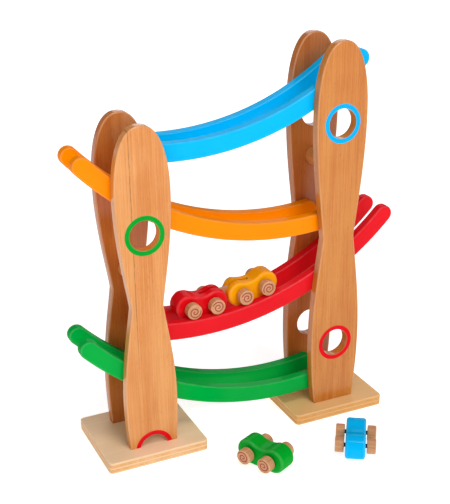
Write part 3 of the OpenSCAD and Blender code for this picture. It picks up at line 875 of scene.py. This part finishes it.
def carBody(colour):
    # Slab along the car's outline with all edges rounded. A slotted end leaves out the middle of its edge
    # band, and two cheeks and an end wall close the slot.
    slotEnd = carPlaces[colour]["slot"]
    half, slotHalf, steps = carSize["half"], carSize["slot"] / 2, carSize["easeSteps"]
    outline = carOutline(slotEnd)
    skin = Skin(*carPlace(colour))
    cells = outline.starts[3] if slotEnd else 0
    rim = edgeBand(skin, outline, half, carSize["ease"], steps, (-slotHalf, slotHalf), cells)
    mouths = {-half: [], half: []}
    for end in (-1, 1):
        bore = roundHole((end * carSize["axleX"], carSize["axleZ"]), carSize["bore"], carSize["boreSteps"])
        walls = {}
        for run in [(-half, -slotHalf), (slotHalf, half)] if end == slotEnd else [(-half, half)]:
            walls.update(zip(run, boreWall(skin, bore, *run)))
        for side in mouths:
            mouths[side].append(walls[side])
        if end == slotEnd:
            low, high = rim[:cells + 1, steps + 1], rim[:cells + 1, steps + 2]
            skin.fill([low, walls[-slotHalf]], 0, 0, 1)
            skin.fill([high, walls[slotHalf]], 0, 0, -1)
            endWall = np.array([[low[0], high[0], high[-1], low[-1]]])
            skin.faces(endWall, np.broadcast_to(skin.aim(slotEnd, 0, 0), (1, 4, 3)))
    skin.fill([rim[:, 0], *mouths[-half]], 0, 0, -1)
    skin.fill([rim[:, -1], *mouths[half]], 0, 0, 1)
    finish = lacquerFinish(colour + "CarLacquer", carLacquers[colour], carShade)
    body, node = colour + "_car", colour + "_car_body"
    return skin.piece(colour + "CarBody", finish, body, node, colour + "_lacquer")


def wheel(colour, end, side, index, finish):
    # Profile turned about the axle: outer face, eased rim, tread, eased rim, inner face and the blind bore
    axes, origin = carPlace(colour)
    out = 1 if side == "left" else -1
    radius, ease, bore = wheelSize["radius"], wheelSize["ease"], wheelSize["bore"]
    inner, outer = wheelSize["inner"], wheelSize["outer"]
    along = (1 if end == "front" else -1) * carSize["axleX"]
    hub = origin + along * axes[0] + carSize["axleZ"] * axes[1]
    # seen from outside, u runs to one side, v up and w towards the eye
    skin = Skin([axes[0] * out, axes[1], axes[2] * out], hub)
    turn = np.linspace(0, np.pi / 2, wheelSize["easeSteps"] + 1)
    sine, cosine = np.sin(turn), np.cos(turn)
    reach = np.concatenate([radius - ease + ease * sine, radius - ease + ease * cosine, [bore, bore]])
    across = np.concatenate([outer - ease + ease * cosine, inner + ease - ease * sine,
                             [inner, inner + wheelSize["boreDepth"]]])
    outwards = np.concatenate([sine, cosine, [0, -1]])
    sideways = np.concatenate([cosine, -sine, [-1, 0]])
    eased = np.concatenate([np.sin(2 * turn), np.sin(2 * turn), [0, 0]])
    spin = np.linspace(0, 2 * np.pi, wheelSize["spinSteps"] + 1)[:-1]
    rayU, rayV = np.cos(spin), np.sin(spin)
    ids = skin.add(reach[:, None] * rayU, reach[:, None] * rayV, across[:, None], eased[:, None])
    after = skin.aim(outwards[:, None] * rayU, outwards[:, None] * rayV, sideways[:, None])
    before = after.copy()
    before[-2] = before[-3]  # the inner face stays flat up to the bore's sharp mouth
    after[-2] = after[-1]
    skin.band(ids, before, after, roundColumns=True)
    skin.fill([ids[0]], 0, 0, 1)
    skin.fill([ids[-1]], 0, 0, -1)
    local = (np.concatenate(skin.points) - hub) @ skin.axes.T
    flip = 1 if np.linalg.det(skin.axes) > 0 else -1  # keeps the spiral's hand the same on every outer face
    shift = wheelSize["spiralShift"] * index
    start = math.radians(spiralEnds.get((colour, end, side), shift) - 360 * spiral["turns"][1])
    x, y = local[:, 0] * flip, local[:, 1]
    turnedX = x * math.cos(start) + y * math.sin(start)
    turnedY = y * math.cos(start) - x * math.sin(start)
    disc = np.stack([turnedX, turnedY, outer - local[:, 2]], 1)
    grain = local + np.array(wheelSize["grainShift"]) * index
    name = f"{colour}{end.capitalize()}{side.capitalize()}Wheel"
    body, node = f"{colour}_{end}_wheelset", f"{colour}_{end}_{side}_wheel"
    return skin.piece(name, finish, body, node, "pale_wood", {"disc": disc, "grain": grain})


wheelWood = wheelFinish("wheelWood")
wheelCount = 0
for carColour in carPlaces:
    carBody(carColour)
    for wheelEnd in ("front", "rear"):
        for wheelSide in ("left", "right"):
            wheel(carColour, wheelEnd, wheelSide, wheelCount, wheelWood)
            wheelCount += 1
print("cars:", len(carPlaces), "with", wheelCount, "wheels")


# coupling link

def couplingLink():
    # Long round-ended bar, a little above the line through its two eyes
    skin = Skin(*trackPlace(redAngle + carAngle + linkAngle, linkAngle))
    reach, rise, radius = linkSize["pitch"] / 2, linkSize["rise"], linkSize["endRadius"]
    run, bend = linkSize["sideSteps"], linkSize["endSteps"]
    low, high = rise - radius, rise + radius
    outline = Outline([
        linePart((-reach, low), (reach, low), run), arcPart((reach, rise), radius, -90, 90, bend),
        linePart((reach, high), (-reach, high), run), arcPart((-reach, rise), radius, 90, 270, bend),
    ])
    eyes = [roundHole((side * reach, 0), linkSize["eye"], bend) for side in (-1, 1)]
    slab(skin, outline, linkSize["thick"] / 2, linkSize["ease"], eyes, linkSize["eyeEase"])
    finish = plainWoodFinish("linkWood", 0, turnedWood, linkSize["grainShift"])
    return skin.piece("couplingLink", finish, "link", "coupling_link", "pale_wood")


couplingLink()
print("coupling link: 1")


# carried-over nodes: dowels, pins, screws and axles

hardware = {  # screen colours pale and deep, axis of the drawn lines, metal share and roughness
    "zincScrew": ((206, 204, 196), (150, 148, 142), 2, 1.0, 0.3),
    "blackAxle": ((34, 34, 36), (14, 14, 15), 1, 0.6, 0.38),
}
dowelLook = {"shade": (0.98, 0.96, 0.92), "grain": (77, 5, 18)}
pinGrain = (3, 9, 27)


def redress(node, material):
    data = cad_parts[node].data
    data.materials.clear()
    data.materials.append(material)


dowelTones = shaded(boardWood, dowelLook["shade"])
for towerSide in towerX:
    dowelWood = plainWoodFinish(towerSide + "DowelWood", 1, dowelTones, dowelLook["grain"])
    redress(towerSide + "_tie_dowel", dowelWood)
redress("rail_pins", plainWoodFinish("pinWood", 1, turnedWood, pinGrain))
redress("base_screws", steelFinish("zincScrew", *hardware["zincScrew"]))
axleSteel = steelFinish("blackAxle", *hardware["blackAxle"])
for carColour in carPlaces:
    for wheelEnd in ("front", "rear"):
        redress(f"{carColour}_{wheelEnd}_axle", axleSteel)
print("nodes with new finishes: dowels, pins, screws and axles")


# floor and studio light

studio = {
    "floorTone": (0.75, 0.75, 0.75, 1), "floorMottle": 0.985, "floorSize": 40.0,
    "floorGlow": (0.70, 0.89), "glowReach": (400, 2200),  # near and far, with their distances in mm
    "sky": 0.25,
    "lights": {  # place in metres, width, power
        "key": ((0.4, -2.3, 1.5), 1.2, 23),
        "fill": ((-1.7, -1.5, 1.3), 1.6, 9),
        "top": ((0.1, -0.9, 2.4), 0.9, 17),
        "back": ((1.1, 2.1, 1.25), 1.4, 10),
    },
    "aim": (0.11, 0.0, 0.2),
}


def makeFloor():
    # White paper on a shooting table that is lit from below, more so with the distance from the object
    finish = Finish("floorPaper")
    point = finish.objectPoint()
    soft = finish.noise(point, 0.01)
    tone = studio["floorTone"]
    deeper = tuple(studio["floorMottle"] * part for part in tone[:3]) + (1,)
    x, y, _ = finish.axes(point)
    away = finish.step((x ** 2 + y ** 2) ** 0.5, *studio["glowReach"])
    near, far = ((glow,) * 3 + (1,) for glow in studio["floorGlow"])
    paper = finish.done({
        "Base Color": finish.tint(soft, deeper, tone),
        "Roughness": 0.9,
        "Specular IOR Level": 0.0,
        "Emission Color": finish.tint(away, near, far),
        "Emission Strength": 1.0,
    })
    half = studio["floorSize"] / 2
    corners = [(-half, -half, 0), (half, -half, 0), (half, half, 0), (-half, half, 0)]
    mesh = bpy.data.meshes.new("floor")
    mesh.from_pydata(corners, [], [(0, 1, 2, 3)])
    mesh.materials.append(paper)
    floor = bpy.data.objects.new("floor", mesh)
    bpy.context.scene.collection.objects.link(floor)


def makeLight():
    world = bpy.data.worlds.new("studio")
    world.use_nodes = True
    sky = world.node_tree.nodes["Background"]
    sky.inputs["Color"].default_value = (1, 1, 1, 1)
    sky.inputs["Strength"].default_value = studio["sky"]
    bpy.context.scene.world = world
    for name, (place, width, power) in studio["lights"].items():
        data = bpy.data.lights.new(name, "AREA")
        data.size, data.energy = width, power
        lamp = bpy.data.objects.new(name, data)
        ray = np.array(studio["aim"]) - np.array(place)
        ray = ray / np.linalg.norm(ray)
        side = np.cross(ray, (0, 0, 1))
        side = side / np.linalg.norm(side)
        lamp.matrix_world = placement(side, np.cross(side, ray), -ray, place)
        bpy.context.scene.collection.objects.link(lamp)


makeFloor()
makeLight()
bpy.context.scene.view_settings.view_transform = "Standard"
print("floor and", len(studio["lights"]), "lights")
